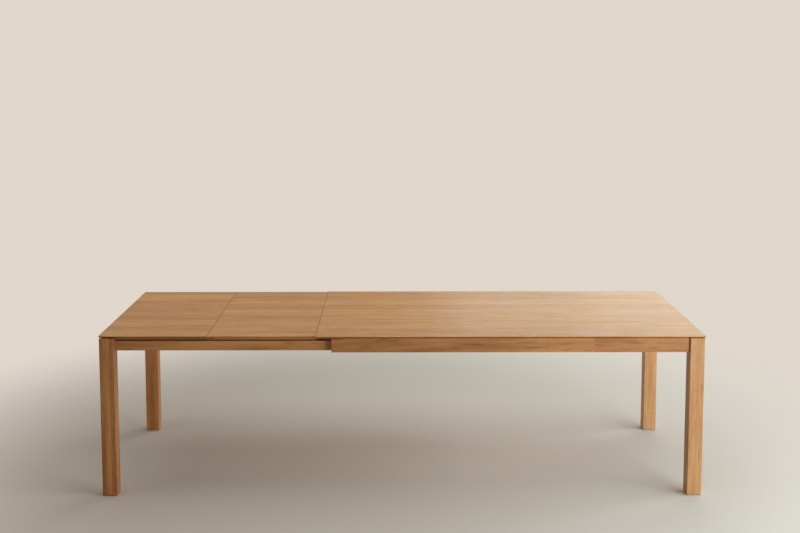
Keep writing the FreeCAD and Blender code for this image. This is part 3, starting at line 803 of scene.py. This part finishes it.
def makePanels():
    half, count = panels["coreHalf"], panels["coreStaves"]
    joints = np.linspace(-half, half, count + 1)
    kinds, shares = list(panels["sawn"]), list(panels["sawn"].values())
    for name, panel in panels["pieces"].items():
        chance = np.random.default_rng(panel["seed"])
        low, high = (np.array(corner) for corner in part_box(panel["node"]))
        (leftKind, leftCore), (rightKind, rightCore) = panel["left"], panel["right"]
        lines = np.concatenate([[low[1]], joints, [high[1]]])
        boards = []
        for place, (front, back) in enumerate(zip(lines[:-1], lines[1:])):
            start, end = np.array([low[0], front, low[2]]), np.array([high[0], back, high[2]])
            side = {0: -1, count + 1: 1}.get(place, 0)  # front edge, back edge or core
            if side:
                across = ("free", "glued") if side < 0 else ("glued", "free")
                solid = sideStave(start, end, (leftKind, rightKind, *across))
            else:
                solid = coreStave(start, end, (panel["left"], panel["right"]))
            if side and panel["strips"]:
                solid = joinSolids([solid, edgeStrip(low, high, (leftCore, rightCore), side)])
            sawing = chance.choice(kinds, p=shares)
            tone = panel["spread"] * chance.uniform(-1, 1)
            boards.append(sawnBoard(chance, solid, 0, sawing, tone, 2, underShade=panel["underShade"]))
        makeWoodPiece(name, boards, panel["wood"], panel["body"], [panel["node"]])
    print("top and leaves:", count + 2, "staves each")


# Legs, each of three boards glued face to face. A left leg has a lip outside and a lower seat behind it.
legs = {
    "round": 0.003,
    "steps": 7,  # faces of each round
    "boards": 3,
    "lip": 0.012,
    "seat": 0.011,  # how far it lies below the lip
    "ease": (0.0012, 0.0006),  # at the foot and at the top
    "seed": 5,
    # the right legs take the painted-light copy of the frame's oak
    "woods": {"left": "oakFrame", "right": "oakPaintedLight"},
    "bodies": {"left": "end_frame", "right": "main_frame"},
    "tones": {  # outer, middle and inner board; the left legs' tones lean darker and the back right leg's paler, partly the boards' own tones and partly painted light from the right
        "left_front_leg": (-0.9, 1.1, -1.5),
        "left_back_leg": (-0.6, -1.8, 0.6),
        "right_front_leg": (0.0, 0.3, -0.2),
        "right_back_leg": (1.6, 1.3, 1.9),
    },
}


def legBoard(low, high, glued):
    return boardSolid(low, high, 2, legs["round"], legs["ease"], glued, legs["steps"])


def lippedBoard(low, high, glued):  # two halves that meet behind the lip, the outer one as high as the leg
    front = low[1] < 0
    cut = low[1] + legs["lip"] if front else high[1] - legs["lip"]
    seatTop = high[2] - legs["seat"]
    frontTop, backTop = (high[2], seatTop) if front else (seatTop, high[2])
    frontHalf = legBoard(low, (high[0], cut, frontTop), (*glued, False, True))
    backHalf = legBoard((low[0], cut, low[2]), (high[0], high[1], backTop), (*glued, True, False))
    return joinSolids([frontHalf, backHalf])


def makeLegs():
    chance = np.random.default_rng(legs["seed"])
    for node, tones in legs["tones"].items():
        low, high = (np.array(corner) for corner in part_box(node))
        end = node.split("_")[0]
        lines = np.linspace(low[0], high[0], legs["boards"] + 1)
        boards = []
        for place, tone in enumerate(tones if end == "left" else tones[::-1]):
            start, stop = low.copy(), high.copy()
            start[0], stop[0] = lines[place], lines[place + 1]
            glued = (place > 0, place < legs["boards"] - 1)
            if end == "left":
                solid = lippedBoard(start, stop, glued)
            else:
                solid = legBoard(start, stop, (*glued, False, False))
            sawing = chance.choice(["flat", "rift"])
            boards.append(sawnBoard(chance, solid, 2, sawing, tone, 0))
        makeWoodPiece(pieceName(node), boards, legs["woods"][end], legs["bodies"][end], [node])
    print("legs:", len(legs["tones"]))


# Aprons of the fixed frame, joined along their length, and rails of the sliding one. A pair of tones
# runs from one end of a board to the other.
aprons = {
    "round": 0.0015,
    "endEase": 0.0005,
    "reveal": (0.005, 0.004),  # width and depth of the shadow groove at the right legs
    "upperShade": 0.9,  # how dark the upper faces and edges are: painted shade under the overhang of the top
    "seed": 17,
    "joints": {"front_apron": (0.887,), "back_apron": (0.31,), "right_apron": (0.12,)},
    "tones": {"front_apron": ((-0.9, 1.3), -1.0), "back_apron": (0.3, -0.3), "right_apron": (0.1, -0.4)},
}
rails = {
    "round": 0.002,
    "endEase": 0.0005,
    "notchHalf": 0.4035,  # half the length between the notches of the end rail
    "notch": 0.009,  # how deep they are
    "upperShade": 0.9,  # how dark the upper faces and edges are: painted shade in the gap under the leaves
    "seed": 29,
    # the front rail runs paler towards its right end: painted light falling from the right
    "tones": {"front_rail": (0.6, 3.2), "back_rail": -0.2, "left_end_rail": 0.2},
}


def makeAprons():
    chance = np.random.default_rng(aprons["seed"])
    width, depth = aprons["reveal"]
    for node, joints in aprons["joints"].items():
        axis = 1 if node == "right_apron" else 0
        low, high = (np.array(corner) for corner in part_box(node))
        reach = high[axis] - (0 if axis else width)
        lines = [low[axis], *joints, reach]
        boards = []
        for place, tone in enumerate(aprons["tones"][node]):
            start, end = low.copy(), high.copy()
            start[axis], end[axis] = lines[place], lines[place + 1]
            ease = (aprons["endEase"] if place == 0 and axis == 0 else 0, 0)
            solid = boardSolid(start, end, axis, aprons["round"], ease)
            boards.append(sawnBoard(chance, solid, axis, "rift", tone, 1 - axis, aprons["upperShade"]))
        if axis == 0:  # the thin tongue between the groove and the leg
            start, end = low.copy(), high.copy()
            start[0] = reach
            if node == "front_apron":
                start[1] += depth
            else:
                end[1] -= depth
            boards.append(sawnBoard(chance, boardSolid(start, end, 0, 0.0, (0, 0)), 0, "rift", tone, 1))
        makeWoodPiece(pieceName(node), boards, "oakFrame", "main_frame", [node])


def makeRails():
    chance = np.random.default_rng(rails["seed"])
    for node, tone in rails["tones"].items():
        low, high = (np.array(corner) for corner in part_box(node))
        if node == "left_end_rail":
            inner, shelf = rails["notchHalf"], high[2] - rails["notch"]
            outline = [
                (low[1], low[2]), (high[1], low[2]), (high[1], shelf), (inner, shelf),
                (inner, high[2]), (-inner, high[2]), (-inner, shelf), (low[1], shelf),
            ]
            ease = (rails["round"], rails["round"])
            solid = polygonSolid(outline, 0, low[0], high[0], ease, gluedEdges=(1, 7))
            board = sawnBoard(chance, solid, 1, "flat", tone, 0, rails["upperShade"])
        else:
            solid = boardSolid(low, high, 0, rails["round"], (0, rails["endEase"]))
            board = sawnBoard(chance, solid, 0, "rift", tone, 1, rails["upperShade"])
        makeWoodPiece(pieceName(node), [board], "oakFrame", "end_frame", [node])
    print("rails:", len(rails["tones"]))


# feet, discs, pads and felt strips, in metres
smallParts = {
    "foot": {"radius": 0.020, "round": 0.0012},
    "disc": {"radius": 0.010, "round": 0.0004},
    "pad": {"round": 0.0015, "ribs": 3, "ribDepth": 0.0004, "stations": 25},
    "felt": {"width": 0.014, "ease": 0.0004, "round": 0.00036},
    "apart": 0.045,  # parts of one node stand further apart in plan
    "turned": {
        "left_feet": ("foot", "end_frame"),
        "right_feet": ("foot", "main_frame"),
        "leaf_discs": ("disc", "end_frame"),
    },
    "felts": {"inner_leaf_felt": "inner_leaf", "outer_leaf_felt": "outer_leaf"},
}


def roundTurned(low, high, radius, ease, middle, steps=4):
    # A low disc with rounded rims: radius = R - e(1 - sin t) at e(1 - cos t) in from either end
    turn = np.linspace(0, math.pi / 2, steps + 1)
    heights = np.concatenate([low + ease * (1 - np.cos(turn)), high - ease * (1 - np.cos(turn[::-1]))])
    radii = radius - ease * (1 - np.sin(turn))
    return turnedSolid(middle, heights, np.concatenate([radii, radii[::-1]]))


def pieceBoxes(node):  # low and high corners of each loose part of a node
    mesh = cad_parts[node].data
    points = np.empty(len(mesh.vertices) * 3)
    mesh.vertices.foreach_get("co", points)
    points = points.reshape(-1, 3)
    boxes = []
    while len(points):
        near = np.abs(points[:, :2] - points[0, :2]).max(1) < smallParts["apart"]
        boxes.append((points[near].min(0), points[near].max(0)))
        points = points[~near]
    return boxes


def ribbedPad(low, high, pad):
    # Inset = d(1 + cos(2 pi n s)) / 2 at the share s of the height, which leaves n ribs standing out
    outline, normals = barOutline(low[:2], high[:2], pad["round"])
    height = np.linspace(low[2], high[2], pad["stations"])
    share = (height - low[2]) / (high[2] - low[2])
    inset = pad["ribDepth"] * (1 + np.cos(2 * math.pi * pad["ribs"] * share)) / 2
    return sweepSolid(outline, normals, height, inset, 2)


def makeSmallParts():
    for node, (kind, body) in smallParts["turned"].items():
        part = smallParts[kind]
        solids = [roundTurned(low[2], high[2], part["radius"], part["round"], (low + high) / 2)
                  for low, high in pieceBoxes(node)]
        makePiece(pieceName(node), joinSolids(solids), "blackPlastic", body, [node])

    solids = [ribbedPad(low, high, smallParts["pad"]) for low, high in pieceBoxes("leaf_pads")]
    makePiece("LeafPads", joinSolids(solids), "rubberPad", "end_frame", ["leaf_pads"])

    strip = smallParts["felt"]
    for node, body in smallParts["felts"].items():
        low, high = (np.array(corner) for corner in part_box(node))
        solids = []
        for front in (low[1], high[1] - strip["width"]):
            start, end = (low[0], front, low[2]), (high[0], front + strip["width"], high[2])
            solids.append(boardSolid(start, end, 0, strip["round"], (strip["ease"],) * 2, steps=3))
        makePiece(pieceName(node), joinSolids(solids), "greyFelt", body, [node])
    print("small parts: feet, discs, pads, felt")


# pieces that keep the frame's own shape
finishes = {
    "beechAlongTable": ["front_beam", "back_beam", "front_stop_block", "back_stop_block"],
    "beechAcrossTable": ["left_cross_rail", "middle_cross_rail", "right_cross_rail", "rail_tie",
                         "inner_leaf_left_batten", "inner_leaf_right_batten",
                         "outer_leaf_left_batten", "outer_leaf_right_batten"],
    "dowelBeech": ["main_frame_dowels", "end_frame_dowels"],
    "zincSteel": ["front_runner", "back_runner", "front_channel", "back_channel",
                  "left_front_bracket", "left_back_bracket", "right_front_bracket", "right_back_bracket",
                  "left_bolts", "right_bolts", "main_frame_screws", "end_frame_screws", "top_screws",
                  "inner_leaf_screws", "outer_leaf_screws", "front_bearer_stop", "back_bearer_stop"],
    "greySteel": ["front_bearer", "back_bearer"],
    "blackPlastic": ["front_bearer_caps", "back_bearer_caps", "front_rail_glide", "back_rail_glide",
                     "runner_pads"],
    "darkPin": ["leaf_pins"],
}


def finishFrame():
    for name, nodes in finishes.items():
        for node in nodes:
            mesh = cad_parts[node].data
            mesh.materials.clear()
            mesh.materials.append(materials[name])
    print("finished nodes:", sum(len(nodes) for nodes in finishes.values()))


floor = {
    "radius": 60.0,
    "rings": 24,
    "firstRing": 0.02,  # share of the radius before it is squared
    "steps": 64,
    "colour": (0.780, 0.728, 0.672),
    "darker": 0.985,
    "mottle": {"counts": (3.0, 3.0, 3.0), "detail": 3.0},
    "fade": (1.5, 3.3),  # metres from the middle over which it turns into the surround
}


def directlySeen(tree):  # one for rays from the camera, also by way of a mirror or through glass
    rays = put(tree, "ShaderNodeLightPath").outputs
    seen = calc(tree, "MAXIMUM", rays["Is Camera Ray"], rays["Is Glossy Ray"])
    return calc(tree, "MAXIMUM", seen, rays["Is Transmission Ray"])


def makeFloor():
    # Rings about the table's middle, each wider than the last: r = R s^2. The last face would cover them all,
    # and the others are turned to look up.
    share = np.linspace(floor["firstRing"], 1, floor["rings"])
    heights = np.zeros(floor["rings"])
    points, faces = turnedSolid((0, 0), heights, floor["radius"] * share**2, floor["steps"])
    mesh = bpy.data.meshes.new("floor")
    mesh.from_pydata(points.tolist(), [], [face[::-1].tolist() for face in faces[:-1]])
    material, tree, shader = newMaterial("floorPaint", Roughness=0.9, Specular_IOR_Level=0.1)
    onTable = placeOnTable(tree)
    darker = colour(*(floor["darker"] * value for value in floor["colour"]))
    paint = blend(tree, noise(tree, onTable, **floor["mottle"]), darker, colour(*floor["colour"]))
    tree.links.new(paint, shader.inputs["Base Color"])
    seen = put(tree, "ShaderNodeEmission", {"Color": colour(*surround["seen"]), "Strength": 1.0})
    far = step(tree, distanceFromZero(tree, onTable), *floor["fade"])
    fade = calc(tree, "MULTIPLY", far, directlySeen(tree))
    shown = put(tree, "ShaderNodeMixShader", {0: fade, 1: shader.outputs[0], 2: seen.outputs[0]})
    tree.links.new(shown.outputs[0], tree.nodes["Material Output"].inputs["Surface"])
    mesh.materials.append(material)
    piece = bpy.data.objects.new("floor", mesh)
    bpy.context.scene.collection.objects.link(piece)
    print("floor:", floor["radius"], "metres out")


def makeSurround():
    world = bpy.data.worlds.new("surround")
    world.use_nodes = True
    bpy.context.scene.world = world
    tree = world.node_tree
    light = tree.nodes["Background"]
    light.inputs["Color"].default_value = colour(*surround["light"])
    light.inputs["Strength"].default_value = surround["strength"]
    seen = put(tree, "ShaderNodeBackground", {"Color": colour(*surround["seen"]), "Strength": 1.0})
    inputs = {0: directlySeen(tree), 1: light.outputs[0], 2: seen.outputs[0]}
    shown = put(tree, "ShaderNodeMixShader", inputs)
    tree.links.new(shown.outputs[0], tree.nodes["World Output"].inputs["Surface"])


makeCamera()
makeLamps()
makeSurround()
makeFloor()
makePanels()
makeLegs()
makeAprons()
makeRails()
makeSmallParts()
finishFrame()
bpy.context.scene.view_settings.view_transform = "Standard"

print("scene done")
